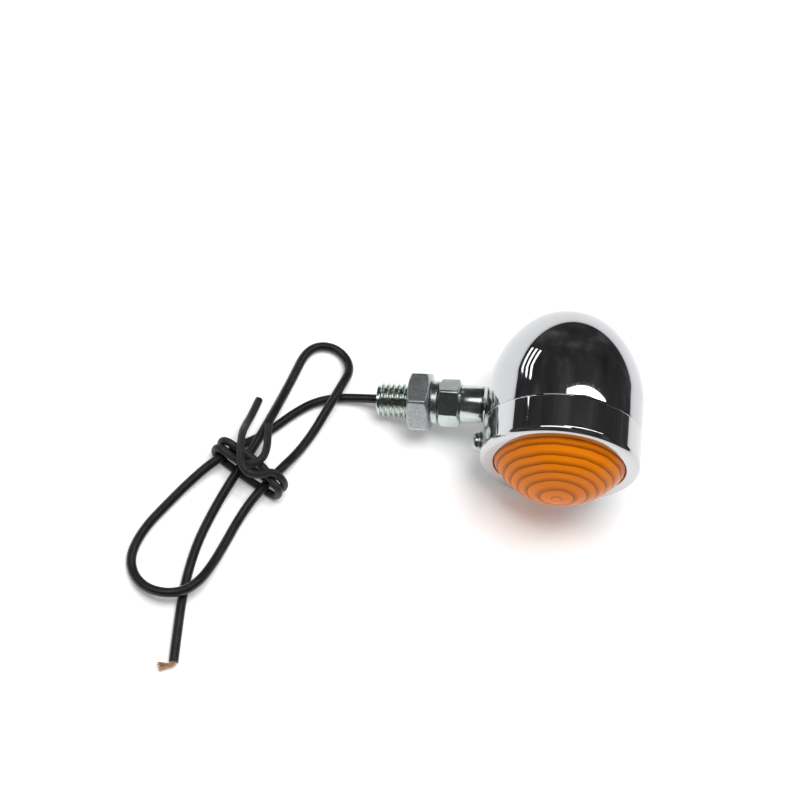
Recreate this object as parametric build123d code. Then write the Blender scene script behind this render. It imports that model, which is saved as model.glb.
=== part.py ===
from build123d import *
from math import asin, atan2, cos, degrees, hypot, pi, radians, sin, sqrt, tan
import os

# Bullet turn signal indicator, in millimetres.
# The lamp is drawn about the Y axis with its lens facing -Y and its stem along -X, then
# rolled about Y until the mounting nut rests on the table, and moved to the row's frame:
# table at z = 0, origin under the middle of the lamp's bounding box.

# ---- driving dimensions: body ------------------------------------------------------------------
BODY_R = 22.25            # bezel and bullet body, 44.5 across
BODY_LENGTH = 47.5        # front face of the bezel to the tip of the dome
DOME_START = 20.0         # where the straight wall turns into the dome
DOME_TIP_R = 19.3         # radius of the dome's nose; a larger arc joins it to the wall
WALL = 1.2                # housing wall
SEAM_Y = 11.0             # shoulder that the bezel ring stops against
SPIGOT_R = 20.95          # spigot that the bezel slides over
SPIGOT_FRONT = 4.0
SPIGOT_BORE = 19.7

# ---- driving dimensions: bezel, lens and screw -------------------------------------------------
SKIRT_BORE = 21.05
LIP_BORE = 18.4
LIP = 1.2
EDGE_ROUND = 1.6
SEAM_GAP = 0.1
LENS_R = 18.3
LENS_BASE_Y = 0.4
LENS_TIP = -9.8
LENS_THICK = 2.0
LENS_FLANGE_R = 20.85
NUB_R, NUB_HEIGHT = 1.5, 0.1
RING_RADII = (4.6, 8.2, 10.8, 13.0, 15.0)  # light-spreading steps inside the lens
RING_STEP = 0.45
GASKET_Y = 2.8            # behind the lens flange
REFLECTOR_Y = 3.4         # front of the reflector's rim
SCREW_Y = 6.4
SCREW_R = 1.5             # M3

# ---- driving dimensions: stem, nut and washers, as distances from the lamp's axis --------------
STEM_Y = 18.3
STEM_IN = 14.8
BOSS_END = 22.9
COLLAR_END = 29.1
HEX_END = 35.4
WASHER_IN, WASHER_OUT = 35.5, 37.6
WASHER_R = 6.2
NUT_END = 43.9
STEM_END = 53.0
THREAD_R = 4.95           # M10 x 1.5
INNER_THREAD_R = 4.0      # M8
COLLAR_R = 5.5
BOSS_R = 4.9
HEX_AF = 12.0
NUT_AF = 16.0
END_CHAMFER = 0.8
WIRE_BORE = 1.9

# ---- driving dimensions: bulb and socket -------------------------------------------------------
GLOBE_R, GLOBE_Y = 9.0, 4.5
BASE_R = 7.5              # 15 mm bayonet cap
BASE_FRONT, BASE_BACK = 13.2, 25.5
PIN_Y = 18.5
CONTACT_Y = 27.0
PUSH = 2.0                # bayonet push-in travel
SOCKET_BORE, SOCKET_R = 7.6, 8.3
SOCKET_FRONT, SOCKET_BACK = 12.6, 34.2
DISC_FRONT, DISC_BACK = 27.9, 29.0

# ---- driving dimensions: lead and tie ----------------------------------------------------------
WIRE_R = 1.3
TIE_R = 1.1
STRAND_R = 0.8
ARC_SHARE = 0.45          # share of the shorter run that each bend's tangent takes

# Route of the free lead after it leaves the stem, in the row's frame. It runs out to the
# lower left, loops back over itself, up through the tie, round at the top and down again.
TIE_LEVEL = 3.75          # height of the strands where the tie passes under them
LEAD_ROUTE = [
    (-47.1, -1.5, 1.3), (-52.9, -4.2, 1.3), (-57.8, -8.6, 1.3), (-62.3, -13.9, 1.3),
    (-66.7, -18.8, 1.3), (-71.2, -23.1, TIE_LEVEL), (-78.6, -30.3, TIE_LEVEL),
    (-83.9, -37.2, 1.9), (-88.6, -44.7, 1.3), (-92.9, -52.1, 1.3), (-95.2, -59.7, 1.3),
    (-94.1, -65.0, 1.3), (-90.4, -69.1, 2.6), (-85.2, -70.6, 4.3), (-79.9, -69.2, 4.6),
    (-76.1, -65.3, 4.3), (-73.4, -59.3, 2.4), (-70.9, -51.9, 1.3), (-68.5, -44.3, 1.5),
    (-65.4, -37.5, TIE_LEVEL), (-59.7, -28.2, TIE_LEVEL), (-55.5, -21.3, 1.7),
    (-51.9, -13.7, 1.5), (-49.2, -6.4, 4.5), (-46.4, 1.5, 4.7), (-44.5, 7.0, 3.0),
    (-45.8, 11.8, 1.5), (-49.9, 14.5, 1.3), (-54.9, 13.9, 1.3), (-58.2, 10.1, 1.3),
    (-59.9, 3.5, 1.3), (-62.0, -3.8, 1.4), (-63.8, -9.9, 3.2), (-65.7, -16.3, 5.0),
    (-68.0, -23.1, 4.6), (-70.5, -29.3, 3.95), (-73.3, -36.4, 2.6), (-75.9, -44.1, 1.3),
    (-78.1, -52.3, 1.3), (-79.3, -61.0, 1.3), (-79.6, -69.9, 1.3), (-79.2, -78.8, 1.3),
    (-78.7, -87.4, 1.3),
]
STRAND_ROUTE = [(-78.62, -88.7, 1.3), (-82.3, -89.6, 1.0)]

# Route of the tie in a frame on the table: x across the three strands, y along them.
TIE_PLANE = Plane(origin=(-68.2, -29.95, 0), x_dir=(0.9011, -0.4335, 0), z_dir=(0, 0, 1))
TIE_HALF = 10.6           # half the width of each turn
TIE_LOW, TIE_TOP, TIE_OVER = 1.1, 6.9, 9.6
TIE_ROUTE = [
    (-10.4, 20.4, 1.1), (-9.2, 15.2, 1.8), (-8.4, 10.2, 4.2), (-7.2, 5.4, 8.2),
    (-5.0, 1.2, TIE_OVER), (-2.6, -2.4, TIE_OVER), (0.8, -4.0, 9.2), (4.2, -2.4, TIE_OVER),
    (6.1, 0.8, TIE_OVER), (TIE_HALF, 1.4, TIE_TOP),
    (TIE_HALF, 1.4, TIE_LOW), (5.2, 1.6, TIE_LOW), (0.0, 1.7, TIE_LOW), (-5.2, 1.6, TIE_LOW),
    (-TIE_HALF, 1.4, TIE_LOW),
    (-TIE_HALF, 1.4, TIE_TOP), (-5.2, 1.6, TIE_TOP), (0.0, 1.7, TIE_TOP), (4.4, 1.1, TIE_TOP),
    (7.4, -0.8, TIE_TOP), (TIE_HALF, -1.4, TIE_TOP),
    (TIE_HALF, -1.4, TIE_LOW), (5.2, -1.6, TIE_LOW), (0.0, -1.7, TIE_LOW),
    (-5.2, -1.6, TIE_LOW), (-TIE_HALF, -1.4, TIE_LOW),
    (-TIE_HALF, -1.4, TIE_TOP), (-6.0, -1.6, TIE_TOP), (-2.4, -1.5, 7.0), (0.6, -0.7, 8.8),
    (1.9, 2.2, TIE_OVER), (0.8, 6.0, 8.9), (-1.3, 9.6, 7.9), (-2.9, 12.3, 7.9),
]

# ---- roll of the lamp: the flat under the nut rests on the table -------------------------------
FACE_SHARE = 0.475  # radius of a hexagon's round end face, as a share of its width
CROWN_SLOPE = tan(radians(30))
NUT_EDGE = NUT_END - (0.5 - FACE_SHARE) * NUT_AF * CROWN_SLOPE
DIP = asin(BODY_R / hypot(NUT_EDGE, NUT_AF / 2)) - atan2(NUT_AF / 2, NUT_EDGE)
STEM_REACH = STEM_END * cos(DIP) + (THREAD_R - END_CHAMFER) * sin(DIP)
SHIFT_X = (STEM_REACH - BODY_R) / 2
SHIFT_Y = -(LENS_TIP + BODY_LENGTH) / 2
PLACE = Pos(SHIFT_X, SHIFT_Y, BODY_R) * Rot(0, -degrees(DIP), 0)

STEM = Plane(origin=(0, STEM_Y, 0), x_dir=(0, 1, 0), z_dir=(-1, 0, 0))
SCREW = Plane(origin=(0, SCREW_Y, 0), x_dir=(0, 1, 0), z_dir=(-1, 0, 0))
UP = (Align.CENTER, Align.CENTER, Align.MIN)


# ---- shared shapes -----------------------------------------------------------------------------
def outline(*edges):
    """Closed face from lines and arcs that follow each other."""
    return make_face(Curve() + list(edges))


def turned(*edges):
    """Solid of revolution about the lamp's axis; x is the radius."""
    return revolve(outline(*edges), Axis.Y)


def ring(inner, outer, front, back):
    """Plain ring about the lamp's axis, between two distances along it."""
    corners = [(inner, front), (outer, front), (outer, back), (inner, back)]
    return turned(Polyline(*corners, close=True))


def rod(plane, radius, start, end):
    """Round bar along a plane's normal, between two distances along it."""
    return plane * Pos(0, 0, start) * Cylinder(radius, end - start, align=UP)


def tube_ring(plane, inner, outer, start, end):
    """Washer-like ring along a plane's normal."""
    return rod(plane, outer, start, end) - rod(plane, inner, start - 1, end + 1)


def hex_bar(plane, across_flats, start, end, turn=0):
    """Hexagonal prism along a plane's normal."""
    section = RegularPolygon(across_flats / 2, 6, major_radius=False, rotation=turn)
    return plane * Pos(0, 0, start) * extrude(section, end - start)


def crowned_hex(plane, across_flats, start, end, turn=0):
    """Hexagon with both ends rounded off as parts of a ball, which meet the flats in arcs."""
    flat_r, face_r = across_flats / 2, FACE_SHARE * across_flats
    fall = (flat_r - face_r) * CROWN_SLOPE
    centre = (flat_r**2 - face_r**2 + fall**2) / (2 * fall)
    ball = Sphere(hypot(face_r, centre))
    bar = hex_bar(plane, across_flats, start, end, turn)
    for height in (start + centre, end - centre):
        bar &= plane * Pos(0, 0, height) * ball
    return bar


# ---- body --------------------------------------------------------------------------------------
def dome_arcs(depth):
    """Side and nose of the dome as two tangent arcs, drawn at a depth below the outer skin."""
    rise = BODY_LENGTH - DOME_START
    side_r = BODY_R**2 + (rise - DOME_TIP_R)**2 - DOME_TIP_R**2
    side_r /= 2 * (BODY_R - DOME_TIP_R)
    side_centre = (BODY_R - side_r, DOME_START)
    nose_centre = (0, BODY_LENGTH - DOME_TIP_R)
    join = degrees(atan2(rise - DOME_TIP_R, side_r - BODY_R))
    side = CenterArc(side_centre, side_r - depth, 0, join)
    nose = CenterArc(nose_centre, DOME_TIP_R - depth, join, 90 - join)
    return side, nose


def housing_shell():
    inner_r = BODY_R - WALL
    inner_tip = BODY_LENGTH - WALL
    shell = turned(
        Polyline((0, inner_tip), (0, BODY_LENGTH)),
        *dome_arcs(0),
        Polyline(
            (BODY_R, DOME_START), (BODY_R, SEAM_Y), (SPIGOT_R, SEAM_Y), (SPIGOT_R, SPIGOT_FRONT),
            (SPIGOT_BORE, SPIGOT_FRONT), (SPIGOT_BORE, SEAM_Y - 0.4), (inner_r, SEAM_Y + 1.6),
            (inner_r, DOME_START),
        ),
        *dome_arcs(WALL),
    )
    boss = rod(STEM, BOSS_R, BODY_R - 1.7, BOSS_END)
    return shell + boss - rod(STEM, INNER_THREAD_R + 0.05, STEM_IN, BOSS_END + 1)


# ---- bezel, lens and gasket --------------------------------------------------------------------
def bezel_ring():
    body = turned(
        ThreePointArc(
            (BODY_R - EDGE_ROUND, 0),
            (BODY_R - EDGE_ROUND * (1 - sqrt(0.5)), EDGE_ROUND * (1 - sqrt(0.5))),
            (BODY_R, EDGE_ROUND),
        ),
        Polyline(
            (BODY_R, EDGE_ROUND), (BODY_R, SEAM_Y - SEAM_GAP), (SKIRT_BORE, SEAM_Y - SEAM_GAP),
            (SKIRT_BORE, LIP), (LIP_BORE, LIP), (LIP_BORE, 0), (BODY_R - EDGE_ROUND, 0),
        ),
    )
    return body - rod(SCREW, SCREW_R + 0.05, SPIGOT_R - 2, BODY_R + 2)


def lens():
    """Amber cap: smooth outside, concentric steps inside, and a rim flange."""
    tip = LENS_TIP + NUB_HEIGHT
    rise = LENS_BASE_Y - tip
    sphere_r = (LENS_R**2 + rise**2) / (2 * rise)
    centre_y = tip + sphere_r
    inner_r = sphere_r - LENS_THICK

    def inner_y(radius):
        return centre_y - sqrt(inner_r**2 - radius**2)

    mouth_r = LENS_R - 1.7
    corners = [(LENS_R, LENS_BASE_Y), (LENS_R, LIP), (LENS_FLANGE_R, LIP)]
    corners += [(LENS_FLANGE_R, GASKET_Y), (mouth_r, GASKET_Y), (mouth_r, inner_y(mouth_r))]
    for start, end in zip((0, *RING_RADII)[-2::-1], RING_RADII[::-1]):
        corners.append((end, inner_y(end)))
        corners.append((start + 0.2, inner_y(start) + RING_STEP))
    corners += [(0, inner_y(0) + RING_STEP), (0, tip)]
    half = asin(LENS_R / sphere_r) / 2
    middle = (sphere_r * sin(half), centre_y - sphere_r * cos(half))
    cap = turned(Polyline(*corners), ThreePointArc((0, tip), middle, (LENS_R, LENS_BASE_Y)))
    return cap + ring(0, NUB_R, LENS_TIP, LENS_TIP + 2 * NUB_HEIGHT + 0.3)


def lens_gasket():
    return ring(19.2, LENS_FLANGE_R, GASKET_Y, REFLECTOR_Y)


# ---- reflector and bulb socket -----------------------------------------------------------------
def reflector_plate():
    sheet = SPIGOT_FRONT - REFLECTOR_Y
    hub_y = SOCKET_FRONT + sheet
    return turned(
        Line((LENS_FLANGE_R, REFLECTOR_Y), (19.0, REFLECTOR_Y)),
        ThreePointArc((19.0, REFLECTOR_Y), (15.2, 9.0), (9.5, hub_y)),
        Polyline((9.5, hub_y), (SOCKET_R + 0.05, hub_y), (SOCKET_R + 0.05, hub_y + sheet),
                 (9.75, hub_y + sheet)),
        ThreePointArc((9.75, hub_y + sheet), (15.65, 9.4), (19.55, SPIGOT_FRONT)),
        Polyline((19.55, SPIGOT_FRONT), (LENS_FLANGE_R, SPIGOT_FRONT),
                 (LENS_FLANGE_R, REFLECTOR_Y)),
    )


def bulb_socket():
    """Drawn sleeve with a rolled lip, a drilled floor and two bayonet slots."""
    lip_back = SOCKET_FRONT + SPIGOT_FRONT - REFLECTOR_Y
    sleeve = ring(SOCKET_BORE, SOCKET_R, SOCKET_FRONT, SOCKET_BACK)
    sleeve += ring(SOCKET_BORE, 9.4, SOCKET_FRONT, lip_back)
    sleeve += ring(WIRE_BORE, SOCKET_R, SOCKET_BACK - 0.7, SOCKET_BACK)
    slot_w = 2.2
    deep = PIN_Y + PUSH + slot_w / 2
    middle_r = (SOCKET_R + SOCKET_BORE) / 2
    for side in (0, 180):
        seat = Pos(0, (PIN_Y - 1.1 + deep) / 2, middle_r) * Box(slot_w, deep - PIN_Y + 1.1, 2.4)
        sleeve -= Rot(0, side, 0) * seat
        for turn in range(0, 25, 4):
            leg = Pos(0, deep - slot_w / 2, middle_r) * Box(slot_w, slot_w, 2.4)
            sleeve -= Rot(0, side + turn, 0) * leg
        entry = Pos(0, (SOCKET_FRONT - 1 + deep) / 2, middle_r + 0.6)
        entry *= Box(slot_w, deep - SOCKET_FRONT + 1, 3.6)
        sleeve -= Rot(0, side + 24, 0) * entry
    return sleeve


def socket_disc():
    """Fibre disc that carries the centre contact and slides in the sleeve."""
    return ring(1.45, 7.3, DISC_FRONT, DISC_BACK)


def contact_plunger():
    corners = [(0, CONTACT_Y), (2.4, CONTACT_Y), (2.4, DISC_FRONT), (1.4, DISC_FRONT)]
    corners += [(1.4, DISC_BACK), (2.0, DISC_BACK), (2.0, 30.0), (0, 30.0)]
    return turned(Polyline(*corners, close=True))


def contact_wire():
    """Stub of lead soldered to the plunger, free to slide in the socket's floor."""
    return ring(0, WIRE_R, 30.0, 34.6)


def contact_spring():
    front, back, wire_r, turns = DISC_BACK + 0.05, 33.45, 0.4, 3.5
    pitch = (back - front - 2 * wire_r) / turns
    coil = Helix(pitch, pitch * turns, 5.5)
    spring = sweep(Plane(coil @ 0, z_dir=coil % 0) * Circle(wire_r), path=coil, is_frenet=True)
    return Pos(0, front + wire_r, 0) * Rot(-90, 0, 0) * spring


# ---- bulb --------------------------------------------------------------------------------------
def bulb_glass():
    glass, neck_r, neck_end = 0.7, 6.9, 16.0

    def globe(radius, start_r):
        """Arc from the front of the globe back to the neck."""
        end_y = GLOBE_Y + sqrt(radius**2 - start_r**2)
        return ThreePointArc((0, GLOBE_Y - radius), (radius, GLOBE_Y), (start_r, end_y)), end_y

    outer, outer_y = globe(GLOBE_R, neck_r)
    inner, inner_y = globe(GLOBE_R - glass, neck_r - glass)
    return turned(
        outer,
        Polyline((neck_r, outer_y), (neck_r, neck_end), (neck_r - glass, neck_end),
                 (neck_r - glass, inner_y)),
        inner,
        Line((0, GLOBE_Y - GLOBE_R + glass), (0, GLOBE_Y - GLOBE_R)),
    )


def bulb_base():
    """Bayonet cap with two side pins."""
    cap = ring(7.0, BASE_R, BASE_FRONT, BASE_BACK) + ring(2.2, 7.2, 24.5, BASE_BACK)
    pins = Plane(origin=(0, PIN_Y, 0), z_dir=(0, 0, 1))
    cap += rod(pins, 0.9, 7.1, 8.5)
    return cap + rod(pins, 0.9, -8.5, -7.1)


def bulb_mount():
    """Glass post that holds the filament's support wires."""
    corners = [(0, 9.0), (1.6, 9.0), (3.2, 20.0), (0, 20.0)]
    return turned(Polyline(*corners, close=True))


def bulb_filament():
    """Coiled filament on two support wires."""
    radius, wire_r, post_r = 3.2, 0.35, 0.25
    arc = ThreePointArc((-radius, GLOBE_Y, 0), (0, GLOBE_Y - 1.6, 0), (radius, GLOBE_Y, 0))
    filament = sweep(Plane(arc @ 0, z_dir=arc % 0) * Circle(wire_r), path=arc)
    for side in (-1, 1):
        post = Polyline((side * radius, GLOBE_Y - 0.1, 0), (side * 1.1, 8.95, 0))
        filament += sweep(Plane(post @ 0, z_dir=post % 0) * Circle(post_r), path=post)
    return filament


def bulb_contact():
    corners = [(0, 24.0), (2.1, 24.0), (2.1, CONTACT_Y - 0.5), (1.4, CONTACT_Y), (0, CONTACT_Y)]
    return turned(Polyline(*corners, close=True))


# ---- stem and its fasteners --------------------------------------------------------------------
def stem():
    """Hollow stem: inner thread, collar, hexagon and outer mounting thread."""
    straight = STEM_END - END_CHAMFER
    body = rod(STEM, INNER_THREAD_R, STEM_IN, BOSS_END)
    body += rod(STEM, COLLAR_R, BOSS_END, COLLAR_END)
    body += crowned_hex(STEM, HEX_AF, COLLAR_END, HEX_END, turn=30)
    body += rod(STEM, THREAD_R, HEX_END, straight)
    tip = Cone(THREAD_R, THREAD_R - END_CHAMFER, END_CHAMFER, align=UP)
    body += STEM * Pos(0, 0, straight) * tip
    return body - rod(STEM, WIRE_BORE, STEM_IN - 1, STEM_END + 1)


def stem_inner_nut():
    nut = crowned_hex(STEM, 13.0, 15.0, 19.0, turn=30)
    return nut - rod(STEM, INNER_THREAD_R + 0.03, 14.0, 20.0)


def stem_tooth_washer():
    washer = tube_ring(STEM, INNER_THREAD_R + 0.1, 6.5, 19.0, 19.9)
    for tooth in range(12):
        notch = Rot(0, 0, 30 * tooth) * Pos(6.5, 0, 19.45) * Box(1.8, 0.9, 2)
        washer -= STEM * notch
    return washer


def lock_washer():
    """Split spring washer."""
    washer = tube_ring(STEM, 5.15, WASHER_R, WASHER_IN, WASHER_OUT)
    cut = Pos(5.8, 0, (WASHER_IN + WASHER_OUT) / 2) * Rot(20, 0, 0) * Box(4, 0.8, 6)
    return washer - STEM * Rot(0, 0, 100) * cut


def mounting_nut():
    nut = crowned_hex(STEM, NUT_AF, WASHER_OUT, NUT_END)
    return nut - rod(STEM, THREAD_R + 0.05, WASHER_OUT - 1, NUT_END + 1)


# ---- bezel screw -------------------------------------------------------------------------------
WASHER_SEAT = BODY_R + 0.05
HEAD_SEAT = WASHER_SEAT + 0.5


def screw_washer():
    return tube_ring(SCREW, SCREW_R + 0.1, 3.0, WASHER_SEAT, HEAD_SEAT)


def bezel_screw():
    """M3 pan head with a cross recess; its tip stops just short of the spigot."""
    head_r, head_h = 2.75, 1.8
    corners = [(0, 0), (head_r, 0), (head_r, head_h - 0.7), (head_r - 0.7, head_h), (0, head_h)]
    head = revolve(Plane.XZ * make_face(Polyline(*corners, close=True)), Axis.Z)
    screw = SCREW * Pos(0, 0, HEAD_SEAT) * head + rod(SCREW, SCREW_R, SKIRT_BORE + 0.05, HEAD_SEAT)
    for turn in (0, 90):
        slot = Pos(0, 0, HEAD_SEAT + head_h) * Rot(0, 0, turn) * Box(3.4, 0.75, 2.2)
        screw -= SCREW * slot
    return screw


# ---- wiring ------------------------------------------------------------------------------------
def round_tube(points, radius, radii, name):
    """Tube along straight runs joined by tangent arcs."""
    path = FilletPolyline(*points, radius=radii)
    solid = sweep(Plane(path @ 0, z_dir=path % 0) * Circle(radius), path=path)
    expected = pi * radius**2 * path.length
    print(f"{name}: length {path.length:.1f}, volume {solid.volume:.1f} of {expected:.1f}")
    return solid


def bend_radii(points):
    """One radius for each corner, from the shorter of its two runs and its turn."""
    corners = [Vector(*p) for p in points]
    radii = []
    for before, here, after in zip(corners, corners[1:], corners[2:]):
        turn = radians((here - before).get_angle(after - here))
        shorter = min((here - before).length, (after - here).length)
        radii.append(ARC_SHARE * shorter / tan(turn / 2))
    return radii


def lead_inner():
    """Lead held by the lamp: behind the socket, round its side and out through the stem."""
    side_x, turn_y = -10.3, 41.2
    points = [(0, 37.0, 0), (0, turn_y, 0), (side_x, turn_y, 0), (side_x, STEM_Y, 0)]
    points.append((-STEM_END, STEM_Y, 0))
    return round_tube(points, WIRE_R, [3.6, 4.0, 3.2], "lead_inner")


def stem_point(distance):
    """Place on the stem's axis, in the row's frame."""
    x = SHIFT_X - distance * cos(DIP)
    return (x, STEM_Y + SHIFT_Y, BODY_R - distance * sin(DIP))


def lead_points():
    """Free lead: leaves along the stem's axis, then follows its route over the table."""
    return [stem_point(STEM_END), stem_point(STEM_END + 5.5)] + LEAD_ROUTE


def lead_tube():
    points = lead_points()
    radii = bend_radii(points)
    print("lead radii", [round(r, 1) for r in radii])
    return round_tube(points, WIRE_R, radii, "lead_tube")


def lead_strands():
    """Bared copper at the free end, bent aside."""
    return round_tube([LEAD_ROUTE[-1]] + STRAND_ROUTE, STRAND_R, [1.0], "lead_strands")


def hank_tie():
    radii = bend_radii(TIE_ROUTE)
    print("tie radii", [round(r, 1) for r in radii])
    return TIE_PLANE * round_tube(TIE_ROUTE, TIE_R, radii, "hank_tie")


LAMP_PARTS = {
    "housing_shell": housing_shell,
    "bezel_ring": bezel_ring,
    "lens": lens,
    "lens_gasket": lens_gasket,
    "reflector_plate": reflector_plate,
    "bulb_socket": bulb_socket,
    "socket_disc": socket_disc,
    "contact_plunger": contact_plunger,
    "contact_wire": contact_wire,
    "contact_spring": contact_spring,
    "bulb_glass": bulb_glass,
    "bulb_base": bulb_base,
    "bulb_mount": bulb_mount,
    "bulb_filament": bulb_filament,
    "bulb_contact": bulb_contact,
    "stem": stem,
    "stem_inner_nut": stem_inner_nut,
    "stem_tooth_washer": stem_tooth_washer,
    "lock_washer": lock_washer,
    "mounting_nut": mounting_nut,
    "screw_washer": screw_washer,
    "bezel_screw": bezel_screw,
    "lead_inner": lead_inner,
}
LEAD_PARTS = {"lead_tube": lead_tube, "lead_strands": lead_strands, "hank_tie": hank_tie}

os.makedirs("parts", exist_ok=True)
for name, build in LAMP_PARTS.items():
    export_step(PLACE * build(), f"parts/{name}.step")
for name, build in LEAD_PARTS.items():
    export_step(build(), f"parts/{name}.step")

print(f"dip {degrees(DIP):.3f} degrees, shift {SHIFT_X:.3f} {SHIFT_Y:.3f}")
print("stem end", stem_point(STEM_END))
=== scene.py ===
import math
import random

import bmesh
import bpy
from mathutils import Matrix, Vector


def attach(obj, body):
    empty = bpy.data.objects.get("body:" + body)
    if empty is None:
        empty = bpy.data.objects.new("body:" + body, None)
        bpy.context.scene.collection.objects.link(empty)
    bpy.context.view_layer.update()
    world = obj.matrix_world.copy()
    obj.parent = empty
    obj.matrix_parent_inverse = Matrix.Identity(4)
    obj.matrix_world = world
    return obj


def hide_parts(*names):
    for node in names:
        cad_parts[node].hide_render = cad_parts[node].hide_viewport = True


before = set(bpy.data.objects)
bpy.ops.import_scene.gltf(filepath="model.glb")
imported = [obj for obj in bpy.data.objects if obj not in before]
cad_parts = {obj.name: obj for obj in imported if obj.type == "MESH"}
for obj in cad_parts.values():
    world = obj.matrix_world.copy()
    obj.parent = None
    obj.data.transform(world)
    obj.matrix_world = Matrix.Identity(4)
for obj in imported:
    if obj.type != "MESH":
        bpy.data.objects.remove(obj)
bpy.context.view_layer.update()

# Bullet turn signal indicator. Lengths are in millimetres, turned into metres by MM.
# Each turned piece is drawn about its own axis and placed by that axis's matrix.
MM = 0.001
TAU = 2 * math.pi
RNG = random.Random(7)

# ---- sizes shared with the CAD model -----------------------------------------------------------
BODY_R, BODY_LENGTH, DOME_START, DOME_TIP_R, WALL = 22.25, 47.5, 20.0, 19.3, 1.2
SEAM_Y, SEAM_GAP, SPIGOT_R, SPIGOT_FRONT, SPIGOT_BORE = 11.0, 0.1, 20.95, 4.0, 19.7
SKIRT_BORE, LIP_BORE, LIP, EDGE_ROUND = 21.05, 18.4, 1.2, 1.6
LENS_R, LENS_BASE_Y, LENS_TIP, LENS_THICK, LENS_FLANGE_R = 18.3, 0.4, -9.8, 2.0, 20.85
NUB_R, NUB_HEIGHT = 1.5, 0.1
RING_RADII, RING_STEP = (4.6, 8.2, 10.8, 13.0, 15.0), 0.45
OUTER_PAINTED_LINE_R = 17.0  # painted dark line of shade outside the last step, in the colour only
GASKET_Y, REFLECTOR_Y = 2.8, 3.4
SCREW_Y, SCREW_R = 6.4, 1.5
STEM_Y, STEM_IN, BOSS_END, COLLAR_END, HEX_END = 18.3, 14.8, 22.9, 29.1, 35.4
WASHER_IN, WASHER_OUT, WASHER_R, NUT_END, STEM_END = 35.5, 37.6, 6.2, 43.9, 53.0
THREAD_R, THREAD_PITCH, INNER_THREAD_R = 4.95, 1.5, 4.0
COLLAR_R, BOSS_R, HEX_AF, NUT_AF, END_CHAMFER, WIRE_BORE = 5.5, 4.9, 12.0, 16.0, 0.8, 1.9
SOCKET_R, SOCKET_FRONT = 8.3, 12.6
WIRE_R, TIE_R = 1.3, 1.1

# ---- how the lamp lies: rolled about its own axis until the nut's flat is on the table ---------
FACE_SHARE, CROWN_SLOPE = 0.475, math.tan(math.radians(30))
NUT_EDGE = NUT_END - (0.5 - FACE_SHARE) * NUT_AF * CROWN_SLOPE
DIP = math.asin(BODY_R / math.hypot(NUT_EDGE, NUT_AF / 2)) - math.atan2(NUT_AF / 2, NUT_EDGE)
STEM_REACH = STEM_END * math.cos(DIP) + (THREAD_R - END_CHAMFER) * math.sin(DIP)
SHIFT_X = (STEM_REACH - BODY_R) / 2
SHIFT_Y = -(LENS_TIP + BODY_LENGTH) / 2
LAMP = Matrix.Translation((SHIFT_X, SHIFT_Y, BODY_R)) @ Matrix.Rotation(-DIP, 4, "Y")


def axis_frame(origin, x_dir, z_dir):
    """Matrix of an axis on the lamp: its z runs along the axis."""
    x, z = Vector(x_dir), Vector(z_dir)
    return LAMP @ Matrix.Translation(origin) @ Matrix((x, z.cross(x), z)).transposed().to_4x4()


LAMP_AXIS = axis_frame((0, 0, 0), (1, 0, 0), (0, 1, 0))
STEM_AXIS = axis_frame((0, STEM_Y, 0), (0, 1, 0), (-1, 0, 0))
SCREW_AXIS = axis_frame((0, SCREW_Y, 0), (0, 1, 0), (-1, 0, 0))

# ---- camera ------------------------------------------------------------------------------------
CAMERA_AZIMUTH, CAMERA_ELEVATION, CAMERA_ROLL = -18.124, 60.746, 28.262
CAMERA_DISTANCE, FOCAL_LENGTH = 499.69, 77.59
CAMERA_TARGET = Vector((-42.937 + SHIFT_X, 21.835 + SHIFT_Y, 0))


def make_camera():
    azimuth, elevation = math.radians(CAMERA_AZIMUTH), math.radians(CAMERA_ELEVATION)
    roll = math.radians(CAMERA_ROLL)
    flat = math.cos(elevation)
    back = Vector((math.sin(azimuth) * flat, -math.cos(azimuth) * flat, math.sin(elevation)))
    right = Vector((math.cos(azimuth), math.sin(azimuth), 0))
    up = back.cross(right)
    rolled_right = right * math.cos(roll) + up * math.sin(roll)
    rolled_up = up * math.cos(roll) - right * math.sin(roll)
    turn = Matrix((rolled_right, rolled_up, back)).transposed().to_4x4()
    data = bpy.data.cameras.new("camera")
    data.lens = FOCAL_LENGTH
    data.clip_start = 0.01
    camera = bpy.data.objects.new("camera", data)
    place = (CAMERA_TARGET + back * CAMERA_DISTANCE) * MM
    camera.matrix_world = Matrix.Translation(place) @ turn
    bpy.context.scene.collection.objects.link(camera)
    bpy.context.scene.camera = camera


make_camera()


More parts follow.
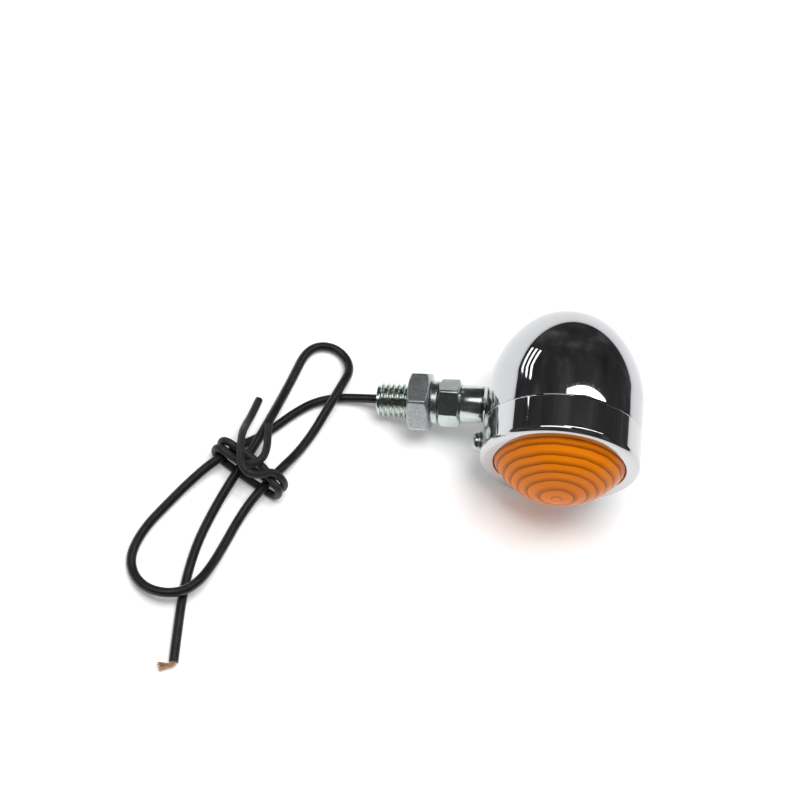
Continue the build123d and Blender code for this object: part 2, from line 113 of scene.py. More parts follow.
# ---- materials ---------------------------------------------------------------------------------
class Surface:
    """A node material: a Principled shader with its colour, roughness and bump from noise."""

    def __init__(self, name, **sockets):
        self.material = bpy.data.materials.new(name)
        self.material.use_nodes = True
        self.nodes = self.material.node_tree.nodes
        self.links = self.material.node_tree.links
        self.shader = self.nodes["Principled BSDF"]
        self.place = self.nodes.new("ShaderNodeTexCoord").outputs["Object"]
        for socket, value in sockets.items():
            self.shader.inputs[socket.replace("_", " ")].default_value = value

    def noise(self, scale, detail=3.0, stretch=None, roughness=0.55):
        """Noise over the object's own coordinates; scale is in features per metre."""
        node = self.nodes.new("ShaderNodeTexNoise")
        node.inputs["Scale"].default_value = scale
        node.inputs["Detail"].default_value = detail
        node.inputs["Roughness"].default_value = roughness
        source = self.place
        if stretch is not None:
            mapping = self.nodes.new("ShaderNodeMapping")
            mapping.inputs["Scale"].default_value = stretch
            self.links.new(source, mapping.inputs["Vector"])
            source = mapping.outputs["Vector"]
        self.links.new(source, node.inputs["Vector"])
        return node.outputs["Fac"]

    def ramp(self, source, stops):
        """Colour ramp; stops are (position, colour)."""
        node = self.nodes.new("ShaderNodeValToRGB")
        ramp = node.color_ramp
        while len(ramp.elements) < len(stops):
            ramp.elements.new(0.5)
        for element, (position, colour) in zip(ramp.elements, stops):
            element.position = position
            element.color = (*colour, 1.0)
        self.links.new(source, node.inputs["Fac"])
        return node.outputs["Color"]

    def range(self, source, low, high, start=0.3, end=0.7):
        """Maps a value between two numbers."""
        node = self.nodes.new("ShaderNodeMapRange")
        for socket, value in zip(("From Min", "From Max", "To Min", "To Max"), (start, end, low, high)):
            node.inputs[socket].default_value = value
        self.links.new(source, node.inputs["Value"])
        return node.outputs["Result"]

    def mix(self, low, high, amount):
        """Mixes two colours by a factor."""
        node = self.nodes.new("ShaderNodeMix")
        node.data_type = "RGBA"
        self.links.new(amount, node.inputs["Factor"])
        for socket, value in ((node.inputs["A"], low), (node.inputs["B"], high)):
            if isinstance(value, tuple):
                socket.default_value = (*value, 1.0)
            else:
                self.links.new(value, socket)
        return node.outputs["Result"]

    def math(self, operation, first, second=None):
        node = self.nodes.new("ShaderNodeMath")
        node.operation = operation
        for socket, value in zip(node.inputs, (first, second)):
            if isinstance(value, (int, float)):
                socket.default_value = value
            elif value is not None:
                self.links.new(value, socket)
        return node.outputs["Value"]

    def colour(self, source):
        self.links.new(source, self.shader.inputs["Base Color"])

    def roughness(self, source):
        self.links.new(source, self.shader.inputs["Roughness"])

    def bump(self, source, height, strength=0.4):
        """Bump of a given height in metres."""
        node = self.nodes.new("ShaderNodeBump")
        node.inputs["Strength"].default_value = strength
        node.inputs["Distance"].default_value = height
        self.links.new(source, node.inputs["Height"])
        self.links.new(node.outputs["Normal"], self.shader.inputs["Normal"])


def chrome(name, tint=(0.57, 0.58, 0.60)):
    """Mirror plating: faint wipe marks, fine hairlines and a few pits."""
    s = Surface(name, Metallic=1.0)
    cloud = s.noise(60, 4)
    hair = s.noise(900, 2, (1.0, 6.0, 1.0))
    s.colour(s.mix(tuple(0.93 * c for c in tint), tint, s.range(cloud, 0, 1)))
    s.roughness(s.math("ADD", s.range(cloud, 0.02, 0.05), s.range(hair, 0.0, 0.03, 0.55, 0.8)))
    pits = s.noise(1500, 1)
    s.bump(s.range(pits, 0, 1, 0.72, 0.8), 0.00001, 0.12)
    return s.material


def zinc(name, light, dark, rough=0.24):
    """Bright zinc plate: grainy and slightly blue and green."""
    s = Surface(name, Metallic=1.0)
    cloud = s.noise(260, 4)
    grain = s.noise(3800, 3)
    speckled = s.mix(dark, light, s.range(grain, 0, 1, 0.40, 0.60))
    s.colour(s.mix(speckled, light, s.range(cloud, 0, 0.6)))
    s.roughness(s.math("ADD", s.range(cloud, rough - 0.04, rough + 0.04), s.range(grain, 0.0, 0.10)))
    s.bump(grain, 0.00002, 0.35)
    return s.material


def plastic(name, low, high, rough, grain_scale=2400, grain_height=0.00002):
    """Moulded or extruded plastic: patchy sheen and a fine grain."""
    s = Surface(name)
    s.colour(s.mix(low, high, s.range(s.noise(300, 3), 0, 1)))
    s.roughness(s.range(s.noise(900, 3), rough - 0.07, rough + 0.07))
    s.bump(s.noise(grain_scale, 2), grain_height, 0.3)
    return s.material


def metal(name, low, high, rough, scale=1200, stretch=None):
    """Plain metal with a mottled tone and brushed grain."""
    s = Surface(name, Metallic=1.0)
    grain = s.noise(scale, 3, stretch)
    s.colour(s.mix(low, high, s.range(grain, 0, 1)))
    s.roughness(s.range(grain, rough - 0.06, rough + 0.08))
    s.bump(grain, 0.00001, 0.25)
    return s.material


def amber():
    """Clear amber acrylic with painted shading and a painted glow: the steps inside are painted as dark
    lines, each with an olive shade beside it, the rim is painted darker, and the lens gives off these colours
    as light.
    """
    # The emission strength set here gives the lens a painted glow.
    s = Surface("amber_acrylic_painted_shade_glow", IOR=1.49, Transmission_Weight=0.15, Coat_Weight=0.04, Coat_Roughness=0.04,
                Specular_IOR_Level=0.08, Emission_Strength=0.12)
    # Bright is the plain amber; the dark step line, the olive shade beside it and the darker rim colour are
    # painted shade, not the acrylic's own colour.
    bright, painted_step_line = (0.92, 0.25, 0.005), (0.25, 0.045, 0.002)
    painted_olive_shade, painted_rim_shade = (0.44, 0.115, 0.004), (0.24, 0.05, 0.003)
    centred = s.nodes.new("ShaderNodeVectorMath")
    centred.operation = "SUBTRACT"
    centred.inputs[1].default_value = (SHIFT_X * MM, 0, BODY_R * MM)
    s.links.new(s.place, centred.inputs[0])
    scaled = s.nodes.new("ShaderNodeVectorMath")
    scaled.operation = "MULTIPLY"
    scaled.inputs[1].default_value = (1 / (LENS_R * MM), 0, 1 / (LENS_R * MM))
    s.links.new(centred.outputs["Vector"], scaled.inputs[0])
    length = s.nodes.new("ShaderNodeVectorMath")
    length.operation = "LENGTH"
    s.links.new(scaled.outputs["Vector"], length.inputs[0])
    wobble = s.range(s.noise(160, 2), -0.006, 0.006)
    across = s.math("ADD", length.outputs["Value"], wobble)
    # Painted shade of the inner steps: a dark line at each step radius with an olive shade just outside it,
    # fading back to bright amber; a painted dark outline round the nub; the rim painted darker.
    painted_shade_radii = (*RING_RADII, OUTER_PAINTED_LINE_R, LENS_R)
    painted_line_half, painted_nub_line_half = 0.2, 0.3
    stops = [(0.0, bright), ((NUB_R - painted_nub_line_half) / LENS_R, bright), (NUB_R / LENS_R, painted_olive_shade),
             ((NUB_R + painted_nub_line_half) / LENS_R, bright)]
    for here, after in zip(painted_shade_radii, painted_shade_radii[1:]):
        for place, colour in ((here - painted_line_half, bright), (here, painted_step_line), (here + painted_line_half, painted_olive_shade),
                              (here + 0.5 * (after - here), bright)):
            stops.append((place / LENS_R, colour))
    stops.append((1.0, painted_rim_shade))
    # rings holds the painted step shading as a colour.
    rings = s.ramp(across, stops)
    s.colour(s.mix(rings, (0.92, 0.25, 0.01), s.range(s.noise(70, 3), 0.02, 0.2)))
    # Painted glow: the ring colours, painted shade included, are given off as light, so the lens glows though
    # it is no lamp.
    s.links.new(rings, s.shader.inputs["Emission Color"])
    s.roughness(s.range(s.noise(500, 2), 0.12, 0.2))
    s.bump(s.noise(320, 2), 0.00005, 0.2)
    return s.material


def clear_glass():
    s = Surface("clear_glass", IOR=1.5, Transmission_Weight=1.0)
    s.colour(s.mix((0.93, 0.95, 0.95), (1.0, 1.0, 1.0), s.range(s.noise(120), 0, 1)))
    s.roughness(s.range(s.noise(400), 0.0, 0.03))
    return s.material


CHROME_BODY = chrome("chrome_plate_body")
CHROME_BEZEL = chrome("chrome_plate_bezel", (0.63, 0.64, 0.65))
ZINC_STEM = zinc("zinc_stem", (0.74, 0.80, 0.76), (0.36, 0.42, 0.40), 0.14)
ZINC_NUT = zinc("zinc_nut", (0.68, 0.74, 0.72), (0.30, 0.29, 0.36), 0.3)
ZINC_WASHER = zinc("zinc_washer", (0.68, 0.74, 0.73), (0.34, 0.38, 0.38), 0.22)
SCREW_PLATE = zinc("screw_nickel", (0.66, 0.68, 0.72), (0.3, 0.31, 0.36), 0.15)
AMBER = amber()
GLASS = clear_glass()
BLACK_PVC = plastic("black_pvc", (0.007, 0.007, 0.009), (0.015, 0.015, 0.018), 0.36)
TIE_PVC = plastic("tie_pvc", (0.012, 0.012, 0.014), (0.024, 0.024, 0.026), 0.5, 1800, 0.00004)
COPPER = metal("bare_copper", (0.93, 0.58, 0.34), (1.0, 0.80, 0.56), 0.4, 2500)
REFLECTOR = metal("bright_reflector", (0.80, 0.80, 0.80), (0.90, 0.90, 0.90), 0.16, 500)
RUBBER = plastic("gasket_rubber", (0.010, 0.010, 0.010), (0.025, 0.025, 0.025), 0.7)
NICKEL = metal("socket_nickel", (0.50, 0.49, 0.45), (0.66, 0.65, 0.60), 0.28, 900, (1, 8, 1))
BRASS = metal("cap_brass", (0.62, 0.46, 0.20), (0.78, 0.62, 0.32), 0.26, 900, (1, 8, 1))
FIBRE = plastic("fibre_board", (0.14, 0.06, 0.025), (0.24, 0.12, 0.05), 0.7, 1500, 0.00005)
SPRING = metal("spring_wire", (0.35, 0.35, 0.36), (0.55, 0.55, 0.56), 0.3)
TUNGSTEN = metal("tungsten", (0.16, 0.16, 0.17), (0.3, 0.3, 0.31), 0.4)
SOLDER = metal("solder", (0.42, 0.42, 0.42), (0.6, 0.6, 0.6), 0.38, 700)


# ---- shared mesh work --------------------------------------------------------------------------
def arc(centre, radius, start, end, steps):
    """Points on an arc of a profile, angles in degrees from the radius direction."""
    out = []
    for i in range(steps + 1):
        a = math.radians(start + (end - start) * i / steps)
        out.append((centre[0] + radius * math.cos(a), centre[1] + radius * math.sin(a)))
    return out


def rounded(corners, radius=0.15, steps=3):
    """Closed profile with every corner off the axis rounded."""
    out = []
    count = len(corners)
    for i, corner in enumerate(corners):
        here = Vector(corner[:2])
        before, after = Vector(corners[i - 1][:2]), Vector(corners[(i + 1) % count][:2])
        size = corner[2] if len(corner) > 2 else radius
        to_before, to_after = before - here, after - here
        size = min(size, 0.45 * to_before.length, 0.45 * to_after.length)
        if here.x < 1e-6 or size < 1e-6:
            out.append(tuple(here))
            continue
        first, last = here + to_before.normalized() * size, here + to_after.normalized() * size
        for k in range(steps + 1):
            t = k / steps
            out.append(tuple(first.lerp(here, t).lerp(here.lerp(last, t), t)))
    return out


def ring_mesh(bm, matrix, rings, segments, closed=True):
    """Adds a surface of rings (radius, along); a radius is a number or a function of the angle."""
    rows = []
    for radius, along in rings:
        if not callable(radius) and radius < 1e-6:
            rows.append([bm.verts.new(matrix @ Vector((0, 0, along)) * MM)])
            continue
        row = []
        for k in range(segments):
            a = TAU * k / segments
            r = radius(a) if callable(radius) else radius
            row.append(bm.verts.new(matrix @ Vector((r * math.cos(a), r * math.sin(a), along)) * MM))
        rows.append(row)
    pairs = list(zip(rows, rows[1:]))
    if closed:
        pairs.append((rows[-1], rows[0]))
    for a, b in pairs:
        for k in range(segments):
            n = (k + 1) % segments
            corners = [a[k % len(a)], a[n % len(a)], b[n % len(b)], b[k % len(b)]]
            corners = list(dict.fromkeys(corners))
            if len(corners) > 2:
                bm.faces.new(corners)


def finish_mesh(name, bm, body, material, replaced=(), sharp=40):
    """Turns a bmesh into a piece that rides on a body."""
    bmesh.ops.recalc_face_normals(bm, faces=bm.faces)
    mesh = bpy.data.meshes.new(name)
    bm.to_mesh(mesh)
    bm.free()
    mesh.shade_smooth()
    mesh.set_sharp_from_angle(angle=math.radians(sharp))
    mesh.materials.append(material)
    piece = bpy.data.objects.new(name, mesh)
    bpy.context.scene.collection.objects.link(piece)
    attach(piece, body)
    if replaced:
        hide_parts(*replaced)
    return piece


def turned(name, matrix, rings, body, material, replaced=(), segments=192, sharp=40):
    bm = bmesh.new()
    ring_mesh(bm, matrix, rings, segments)
    return finish_mesh(name, bm, body, material, replaced, sharp)


# ---- body and bezel ----------------------------------------------------------------------------
def dome(depth, steps=40):
    """Side and nose arcs of the dome, at a depth below the outer skin."""
    rise = BODY_LENGTH - DOME_START
    side_r = (BODY_R**2 + (rise - DOME_TIP_R)**2 - DOME_TIP_R**2) / (2 * (BODY_R - DOME_TIP_R))
    join = math.degrees(math.atan2(rise - DOME_TIP_R, side_r - BODY_R))
    side = arc((BODY_R - side_r, DOME_START), side_r - depth, 0, join, steps)
    nose = arc((0, BODY_LENGTH - DOME_TIP_R), DOME_TIP_R - depth, join, 90, steps)
    return side + nose[1:-1] + [(0, BODY_LENGTH - depth)]


def housing():
    inner, barrel_end = BODY_R - WALL, SEAM_Y + 6
    waist_depth, steps = 0.2, 12
    barrel = []
    for k in range(steps + 1):
        along = SEAM_Y + (barrel_end - SEAM_Y) * k / steps
        waist = waist_depth * ((barrel_end - along) / (barrel_end - SEAM_Y)) ** 2
        barrel.append((BODY_R - waist, along, 0.15 if k == 0 else 0))
    front = rounded([
        (inner, DOME_START - 2, 0), (inner, SEAM_Y + 1.6, 0), (SPIGOT_BORE, SEAM_Y - 0.4, 0),
        (SPIGOT_BORE, SPIGOT_FRONT, 0.2), (SPIGOT_R, SPIGOT_FRONT, 0.3), (SPIGOT_R, SEAM_Y, 0.1),
        *barrel, (BODY_R, DOME_START - 2, 0),
    ])
    outside = dome(0)
    inside = dome(WALL)
    bm = bmesh.new()
    ring_mesh(bm, LAMP_AXIS, front + outside + inside[::-1], 256)
    boss = rounded([
        (BOSS_R - 0.6, BODY_R - 1.2, 0), (BOSS_R + 1.3, BODY_R - 1.0, 0), (BOSS_R + 0.35, BODY_R + 0.15, 1.2),
        (BOSS_R, BOSS_END - 0.1, 0.15), (INNER_THREAD_R + 0.1, BOSS_END - 0.1, 0),
        (INNER_THREAD_R + 0.1, BODY_R - 1.2, 0),
    ])
    ring_mesh(bm, STEM_AXIS, boss, 128)
    finish_mesh("bullet_body", bm, "housing", CHROME_BODY, ["housing_shell"], 30)


def bezel():
    back = SEAM_Y - SEAM_GAP
    lip = arc((BODY_R - EDGE_ROUND, EDGE_ROUND), EDGE_ROUND, 0, -90, 28)
    profile = [(BODY_R, back - 0.3), (BODY_R, EDGE_ROUND + 0.15)] + lip
    profile += rounded([(BODY_R - EDGE_ROUND - 0.3, 0, 0), (LIP_BORE, 0.02, 0.35), (LIP_BORE, LIP, 0.1)])
    profile += rounded([(SKIRT_BORE, LIP, 0), (SKIRT_BORE, back, 0.1), (BODY_R, back, 0.25)])
    turned("bezel_chrome_ring", LAMP_AXIS, profile, "bezel", CHROME_BEZEL,
           ["bezel_ring"], 256, 30)


def lens():
    tip = LENS_TIP + NUB_HEIGHT
    rise = LENS_BASE_Y - tip
    sphere_r = (LENS_R**2 + rise**2) / (2 * rise)
    centre = tip + sphere_r
    inner_r = sphere_r - LENS_THICK

    def outer_y(r):
        return centre - math.sqrt(sphere_r**2 - r**2)

    def inner_y(r):
        return centre - math.sqrt(inner_r**2 - r**2)

    profile = [(0, LENS_TIP), (NUB_R - 0.25, LENS_TIP), (NUB_R, outer_y(NUB_R))]
    profile += [(NUB_R + (LENS_R - NUB_R) * i / 60, outer_y(NUB_R + (LENS_R - NUB_R) * i / 60))
                for i in range(1, 61)]
    mouth = LENS_R - 1.7
    profile += [(LENS_R, LIP), (LENS_FLANGE_R, LIP), (LENS_FLANGE_R, GASKET_Y), (mouth, GASKET_Y),
                (mouth, inner_y(mouth))]
    for start, outer in zip((0, *RING_RADII)[-2::-1], RING_RADII[::-1]):
        inner = start + 0.2
        profile.append((outer, inner_y(outer)))
        for k in range(1, 5):
            r = outer + (inner - outer) * k / 4
            profile.append((r, inner_y(r) + RING_STEP * (k / 4) ** 1.4))
    profile.append((0, inner_y(0) + RING_STEP))
    turned("amber_lens", LAMP_AXIS, profile, "bezel", AMBER, ["lens"], 192, 25)


def reflector():
    sheet = 0.6
    hub = SOCKET_FRONT + sheet
    front = [(19.0, REFLECTOR_Y), (17.7, 5.55), (15.2, 8.75), (12.4, 11.3), (9.5, hub)]
    fine = []
    for i in range(41):
        t = i / 40 * (len(front) - 1)
        k = min(int(t), len(front) - 2)
        a, b = front[k], front[k + 1]
        fine.append((a[0] + (b[0] - a[0]) * (t - k), a[1] + (b[1] - a[1]) * (t - k)))
    for _ in range(60):
        middle = [((a[0] + 2 * b[0] + c[0]) / 4, (a[1] + 2 * b[1] + c[1]) / 4)
                  for a, b, c in zip(fine, fine[1:], fine[2:])]
        fine = [fine[0], *middle, fine[-1]]
    profile = [(LENS_FLANGE_R, REFLECTOR_Y)] + fine
    profile += [(SOCKET_R + 0.05, hub), (SOCKET_R + 0.05, hub + sheet)]
    profile += [(r + 0.3, y + sheet) for r, y in fine[::-1][1:-1]]
    profile += [(19.5, REFLECTOR_Y + sheet), (LENS_FLANGE_R, REFLECTOR_Y + sheet)]
    turned("reflector_bowl", LAMP_AXIS, profile, "housing", REFLECTOR,
           ["reflector_plate"], 160, 40)


# ---- stem and fasteners ------------------------------------------------------------------------
def hexagon(across_flats, turn=0.0, sharpness=90):
    """Radius of a hexagon with slightly rounded corners, as a function of the angle."""
    def radius(angle):
        total = 0.0
        for k in range(6):
            c = math.cos(angle - math.radians(turn + 30 + 60 * k))
            if c > 0:
                total += (c / (across_flats / 2)) ** sharpness
        return total ** (-1 / sharpness)
    return radius


def crowned(across_flats, start, end, turn=0.0, steps=9):
    """Rings of a hexagon whose ends are rounded off as parts of a ball."""
    flat_r, face_r, corner_r = across_flats / 2, FACE_SHARE * across_flats, across_flats / math.sqrt(3)
    fall = (flat_r - face_r) * CROWN_SLOPE
    centre = (flat_r**2 - face_r**2 + fall**2) / (2 * fall)
    shape = hexagon(across_flats, turn)

    def cut(limit):
        return lambda angle: min(shape(angle), limit)

    heads = []
    for k in range(steps + 1):
        limit = face_r + (corner_r - face_r) * k / steps
        depth = centre - math.sqrt(face_r**2 + centre**2 - limit**2)
        heads.append((cut(limit), start + depth))
    tails = [(radius, start + end - along) for radius, along in reversed(heads)]
    return [(face_r - 0.1, start)] + heads + tails + [(face_r - 0.1, end)]


def thread(major, pitch, depth, start, end, step=0.09):
    """Rings of a right-hand thread; each radius depends on how far round the helix it is."""
    def at(along, fade):
        def radius(angle):
            phase = (along / pitch - angle / TAU) % 1.0
            rise = min(1.0, max(0.0, (abs(phase - 0.5) - 0.11) / 0.31))
            return major - depth * rise * fade
        return radius

    count = int((end - start) / step)
    rings = []
    for i in range(count + 1):
        along = start + (end - start) * i / count
        fade = min(1.0, (along - start) / pitch)
        rings.append((at(along, fade), along))
    return rings


def stem():
    thread_start, thread_end = HEX_END + 0.35, STEM_END - END_CHAMFER
    rings = rounded([
        (WIRE_BORE, STEM_IN, 0.2), (INNER_THREAD_R, STEM_IN, 0.5), (INNER_THREAD_R, BOSS_END, 0),
        (COLLAR_R, BOSS_END, 0.3), (COLLAR_R, COLLAR_END, 0),
    ])[:-3]
    rings += [(COLLAR_R, COLLAR_END - 0.25), (COLLAR_R - 0.15, COLLAR_END)]
    rings += crowned(HEX_AF, COLLAR_END + 0.02, HEX_END, 30)
    rings += [(THREAD_R, HEX_END), (THREAD_R, thread_start)]
    rings += thread(THREAD_R, THREAD_PITCH, 0.9, thread_start, thread_end)
    last = rings[-1][0]
    for k in range(1, 8):
        limit = THREAD_R - END_CHAMFER * k / 7
        rings.append((lambda a, m=limit: min(last(a), m), thread_end + END_CHAMFER * k / 7))
    rings += [(WIRE_BORE + 0.3, STEM_END), (WIRE_BORE, STEM_END - 0.3)]
    turned("stem_threaded", STEM_AXIS, rings, "housing", ZINC_STEM, ["stem"], 144, 38)


def nut():
    bore, chamfer, seat = THREAD_R + 0.05, 0.5, WASHER_OUT + 0.02
    rings = crowned(NUT_AF, seat, NUT_END)
    rings += [(bore + 0.55, NUT_END), (bore, NUT_END - chamfer)]
    rings += [(bore, WASHER_OUT + chamfer), (bore + chamfer, seat)]
    turned("mounting_nut_hex", STEM_AXIS, rings, "nut", ZINC_NUT, ["mounting_nut"], 192, 35)


def lock_washer():
    """Split spring washer: a rounded square section carried round with a slanted gap."""
    inner, outer, edge_round = 5.15, WASHER_R, 0.35
    gap, split, slope, slope_r = 0.13, math.radians(100), math.tan(math.radians(20)), 6.5
    section = rounded([(inner, WASHER_IN), (outer, WASHER_IN), (outer, WASHER_OUT),
                       (inner, WASHER_OUT)], edge_round)
    middle = (WASHER_IN + WASHER_OUT) / 2
    bm = bmesh.new()
    rows = []
    steps = 144
    for k in range(steps + 1):
        row = []
        for r, along in section:
            slant = (along - middle) * slope / slope_r
            a = split + gap / 2 + (TAU - gap) * k / steps + slant
            row.append(bm.verts.new(STEM_AXIS @ Vector((r * math.cos(a), r * math.sin(a), along)) * MM))
        rows.append(row)
    for a, b in zip(rows, rows[1:]):
        for k in range(len(section)):
            n = (k + 1) % len(section)
            bm.faces.new([a[k], a[n], b[n], b[k]])
    bm.faces.new(rows[0])
    bm.faces.new(rows[-1][::-1])
    finish_mesh("split_washer", bm, "washer", ZINC_WASHER, ["lock_washer"], 40)


def screw():
    """Pan head screw with a cross recess, and the plain washer under it."""
    seat = BODY_R + 0.05
    head_seat, head_r, head_h = seat + 0.5, 2.75, 1.8
    washer_in, washer_out = SCREW_R + 0.1, 3.0
    washer = rounded([(washer_in, seat), (washer_out, seat), (washer_out, head_seat),
                      (washer_in, head_seat)], 0.1)
    turned("bezel_screw_washer", SCREW_AXIS, washer, "screw_washer", ZINC_WASHER,
           ["screw_washer"], 72)

    slot_half, slot_reach, slot_depth = 0.36, 1.6, 1.0

    def recessed(radius, top):
        """Height of the head at a radius, with the cross pressed into it."""
        def height(angle):
            x, y = abs(radius * math.cos(angle)), abs(radius * math.sin(angle))
            inside = min(x, y) < slot_half and radius < slot_reach
            return top - (slot_depth if inside else 0.0)
        return height

    bm = bmesh.new()
    rows = []
    outline = [(0.0, head_h), (0.2, head_h)]
    outline += [(0.3 + 0.1 * k, head_h - 0.01 * k) for k in range(15)]
    outline += arc((head_r - 0.95, head_h - 1.1), 0.95, 85, 0, 10) + [(head_r, 0.08), (head_r - 0.1, 0)]
    point, tip = SKIRT_BORE + 0.3 - head_seat, SKIRT_BORE + 0.05 - head_seat
    outline += [(SCREW_R, 0), (SCREW_R, point), (SCREW_R - 0.3, tip), (0.0, tip)]
    segments = 96
    for r, top in outline:
        height = recessed(r, top)
        if r == 0.0:
            rows.append([bm.verts.new(SCREW_AXIS @ Vector((0, 0, head_seat + height(0.0))) * MM)])
            continue
        row = []
        for k in range(segments):
            a = TAU * k / segments
            z = height(a) if top > 0.5 else top
            corner = Vector((r * math.cos(a), r * math.sin(a), head_seat + z))
            row.append(bm.verts.new(SCREW_AXIS @ corner * MM))
        rows.append(row)
    for a, b in zip(rows, rows[1:]):
        for k in range(segments):
            n = (k + 1) % segments
            corners = list(dict.fromkeys([a[k % len(a)], a[n % len(a)], b[n % len(b)], b[k % len(b)]]))
            if len(corners) > 2:
                bm.faces.new(corners)
    finish_mesh("bezel_pan_screw", bm, "screw", SCREW_PLATE, ["bezel_screw"], 40)


# ---- lead and tie ------------------------------------------------------------------------------
TIE_LEVEL = 3.75
LEAD_ROUTE = [
    (-47.1, -1.5, 1.3), (-52.9, -4.2, 1.3), (-57.8, -8.6, 1.3), (-62.3, -13.9, 1.3),
    (-66.7, -18.8, 1.3), (-71.2, -23.1, TIE_LEVEL), (-78.6, -30.3, TIE_LEVEL),
    (-83.9, -37.2, 1.9), (-88.6, -44.7, 1.3), (-92.9, -52.1, 1.3), (-95.2, -59.7, 1.3),
    (-94.1, -65.0, 1.3), (-90.4, -69.1, 2.6), (-85.2, -70.6, 4.3), (-79.9, -69.2, 4.6),
    (-76.1, -65.3, 4.3), (-73.4, -59.3, 2.4), (-70.9, -51.9, 1.3), (-68.5, -44.3, 1.5),
    (-65.4, -37.5, TIE_LEVEL), (-59.7, -28.2, TIE_LEVEL), (-55.5, -21.3, 1.7),
    (-51.9, -13.7, 1.5), (-49.2, -6.4, 4.5), (-46.4, 1.5, 4.7), (-44.5, 7.0, 3.0),
    (-45.8, 11.8, 1.5), (-49.9, 14.5, 1.3), (-54.9, 13.9, 1.3), (-58.2, 10.1, 1.3),
    (-59.9, 3.5, 1.3), (-62.0, -3.8, 1.4), (-63.8, -9.9, 3.2), (-65.7, -16.3, 5.0),
    (-68.0, -23.1, 4.6), (-70.5, -29.3, 3.95), (-73.3, -36.4, 2.6), (-75.9, -44.1, 1.3),
    (-78.1, -52.3, 1.3), (-79.3, -61.0, 1.3), (-79.6, -69.9, 1.3), (-79.2, -78.8, 1.3),
    (-78.7, -87.4, 1.3),
]
STRAND_ROUTE = [(-78.62, -88.7, 1.3), (-82.3, -89.6, 1.0)]

TIE_ORIGIN, TIE_ACROSS = Vector((-68.2, -29.95, 0)), Vector((0.9011, -0.4335, 0))
TIE_HALF = 10.6
TIE_LOW, TIE_TOP, TIE_OVER = 1.1, 6.9, 9.6
TIE_ROUTE = [
    (-10.4, 20.4, 1.1), (-9.2, 15.2, 1.8), (-8.4, 10.2, 4.2), (-7.2, 5.4, 8.2),
    (-5.0, 1.2, TIE_OVER), (-2.6, -2.4, TIE_OVER), (0.8, -4.0, 9.2), (4.2, -2.4, TIE_OVER),
    (6.1, 0.8, TIE_OVER), (TIE_HALF, 1.4, TIE_TOP),
    (TIE_HALF, 1.4, TIE_LOW), (5.2, 1.6, TIE_LOW), (0.0, 1.7, TIE_LOW), (-5.2, 1.6, TIE_LOW),
    (-TIE_HALF, 1.4, TIE_LOW),
    (-TIE_HALF, 1.4, TIE_TOP), (-5.2, 1.6, TIE_TOP), (0.0, 1.7, TIE_TOP), (4.4, 1.1, TIE_TOP),
    (7.4, -0.8, TIE_TOP), (TIE_HALF, -1.4, TIE_TOP),
    (TIE_HALF, -1.4, TIE_LOW), (5.2, -1.6, TIE_LOW), (0.0, -1.7, TIE_LOW),
    (-5.2, -1.6, TIE_LOW), (-TIE_HALF, -1.4, TIE_LOW),
    (-TIE_HALF, -1.4, TIE_TOP), (-6.0, -1.6, TIE_TOP), (-2.4, -1.5, 7.0), (0.6, -0.7, 8.8),
    (1.9, 2.2, TIE_OVER), (0.8, 6.0, 8.9), (-1.3, 9.6, 7.9), (-2.9, 12.3, 7.9),
]


def stem_point(distance):
    return tuple(LAMP @ Vector((-distance, STEM_Y, 0)))


def spline_curve(name, routes, radius, material, body, replaced=(), resolution=10):
    """Round cords of one radius on smooth splines; routes are lists of points in millimetres."""
    data = bpy.data.curves.new(name, "CURVE")
    data.dimensions = "3D"
    data.resolution_u = resolution
    data.bevel_depth = radius * MM
    data.bevel_resolution = 5
    data.use_fill_caps = True
    for route in routes:
        spline = data.splines.new("NURBS")
        spline.points.add(len(route) - 1)
        for point, place in zip(spline.points, route):
            point.co = (*(Vector(place) * MM), 1.0)
        spline.order_u = 3
        spline.use_endpoint_u = True
        spline.use_smooth = True
    data.materials.append(material)
    piece = bpy.data.objects.new(name, data)
    bpy.context.scene.collection.objects.link(piece)
    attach(piece, body)
    if replaced:
        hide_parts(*replaced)
    return piece


def lead():
    route = [stem_point(STEM_END), stem_point(STEM_END + 5.5)] + LEAD_ROUTE
    flex = spline_curve("lead_flex", [route], WIRE_R, BLACK_PVC, "housing", ["lead_tube"])
    strands = copper()


def copper():
    """Fine bared strands that bend aside just past the insulation and fan out over the table."""
    count, wire_r, table = 30, 0.11, 0.14
    end, corner, tip = (Vector(place) for place in (LEAD_ROUTE[-1], *STRAND_ROUTE))
    ahead, reach = (corner - end).normalized(), tip - corner
    side, up = ahead.cross(Vector((0, 0, 1))).normalized(), Vector((0, 0, 1))
    routes = []
    for k in range(count):
        ring, turn = math.sqrt((k + 0.5) / count), 2.4 * k
        offset = (side * math.cos(turn) + up * math.sin(turn)) * ring
        fan = Vector((RNG.uniform(-0.4, 0.2), 1.2 * math.cos(turn) * ring, 0.75 * math.sin(turn) * ring))
        bend = corner + offset * 0.6 - ahead * RNG.uniform(0.1, 0.6)
        route = [end + offset * 0.8 - ahead * 0.6, end + offset * 0.75 + ahead * 0.3, bend,
                 bend + reach * 0.5 + fan * 0.4, bend + reach * RNG.uniform(0.84, 1.0) + fan]
        routes.append([Vector((p.x, p.y, max(p.z, table))) for p in route])
    return spline_curve("copper_strands_bare", routes, wire_r, COPPER, "housing",
                        ["lead_strands"], 4)


def tie():
    along = Vector((0, 0, 1)).cross(TIE_ACROSS)
    route = [TIE_ORIGIN + TIE_ACROSS * x + along * y + Vector((0, 0, z)) for x, y, z in TIE_ROUTE]
    band = spline_curve("hank_tie_band", [route], TIE_R, TIE_PVC, "housing", ["hank_tie"])


lead()
tie()
housing()
bezel()
lens()
reflector()
stem()
nut()
lock_washer()
screw()

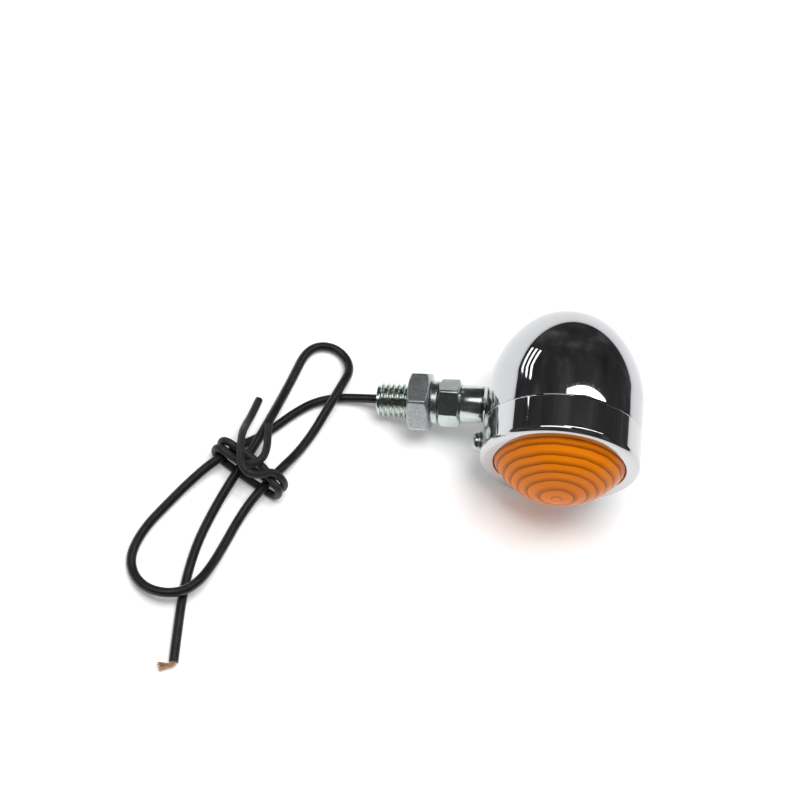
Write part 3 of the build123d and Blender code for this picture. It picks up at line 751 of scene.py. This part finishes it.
# ---- CAD nodes that keep their shape -----------------------------------------------------------
KEPT = {
    "lens_gasket": RUBBER, "bulb_socket": NICKEL, "socket_disc": FIBRE, "contact_plunger": BRASS,
    "contact_wire": BLACK_PVC, "contact_spring": SPRING, "bulb_glass": GLASS, "bulb_base": BRASS,
    "bulb_mount": GLASS, "bulb_filament": TUNGSTEN, "bulb_contact": SOLDER,
    "stem_inner_nut": ZINC_NUT, "stem_tooth_washer": ZINC_WASHER, "lead_inner": BLACK_PVC,
}
for node, material in KEPT.items():
    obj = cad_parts[node]
    obj.data.materials.clear()
    obj.data.materials.append(material)


# ---- floor and light ---------------------------------------------------------------------------
FLOOR_GLOW = 0.22


def floor():
    s = Surface("white_table", Roughness=0.6, Specular_IOR_Level=0.2)
    s.colour(s.mix((0.89, 0.89, 0.885), (0.91, 0.91, 0.91), s.range(s.noise(8), 0, 1)))
    s.shader.inputs["Emission Color"].default_value = (1, 1, 1, 1)
    s.shader.inputs["Emission Strength"].default_value = FLOOR_GLOW
    bm = bmesh.new()
    bmesh.ops.create_grid(bm, x_segments=1, y_segments=1, size=1.5)
    mesh = bpy.data.meshes.new("table_top")
    bm.to_mesh(mesh)
    bm.free()
    mesh.materials.append(s.material)
    top = bpy.data.objects.new("table_top", mesh)
    bpy.context.scene.collection.objects.link(top)


def area_light(name, place, size, power, turn=None, seen=True):
    """Rectangular lamp, in metres and watts; it faces the object, or down where a turn is given."""
    data = bpy.data.lights.new(name, "AREA")
    data.shape = "RECTANGLE"
    data.size, data.size_y = size
    data.energy = power
    lamp = bpy.data.objects.new(name, data)
    lamp.location = place
    if turn is None:
        aim = Vector((-0.02, 0, 0.01)) - Vector(place)
        lamp.rotation_euler = aim.to_track_quat("-Z", "Y").to_euler()
    else:
        lamp.rotation_euler = (0, 0, math.radians(turn))
    lamp.visible_glossy = seen
    bpy.context.scene.collection.objects.link(lamp)


def studio():
    """Dark plain studio, softly uneven, that the plating reflects."""
    world = bpy.data.worlds.new("studio")
    world.use_nodes = True
    nodes, links = world.node_tree.nodes, world.node_tree.links
    place = nodes.new("ShaderNodeTexCoord").outputs["Generated"]
    noise = nodes.new("ShaderNodeTexNoise")
    noise.inputs["Scale"].default_value = 2.6
    noise.inputs["Detail"].default_value = 3.0
    links.new(place, noise.inputs["Vector"])
    ramp = nodes.new("ShaderNodeValToRGB")
    stops = [(0.30, (0.024, 0.024, 0.027)), (0.52, (0.046, 0.045, 0.045)), (0.70, (0.110, 0.107, 0.102))]
    while len(ramp.color_ramp.elements) < len(stops):
        ramp.color_ramp.elements.new(0.5)
    for element, (position, colour) in zip(ramp.color_ramp.elements, stops):
        element.position = position
        element.color = (*colour, 1.0)
    links.new(noise.outputs["Fac"], ramp.inputs["Fac"])
    background = nodes["Background"]
    links.new(ramp.outputs["Color"], background.inputs["Color"])
    bpy.context.scene.world = world


floor()
studio()
area_light("overhead_softbox", (0.05, 0.15, 1.3), (0.9, 0.9), 15.5, seen=False)
area_light("ceiling_tube", (0.34, 0.44, 1.0), (1.15, 0.07), 1.7, turn=6)
area_light("left_panel", (-0.52, -0.02, 1.0), (0.90, 0.40), 2.2, turn=0)
for row in range(3):
    area_light(f"side_strip_{row}", (-1.1, 0.9, 0.16 + 0.17 * row), (0.50, 0.07), 0.3)
bpy.context.scene.view_settings.view_transform = "Standard"
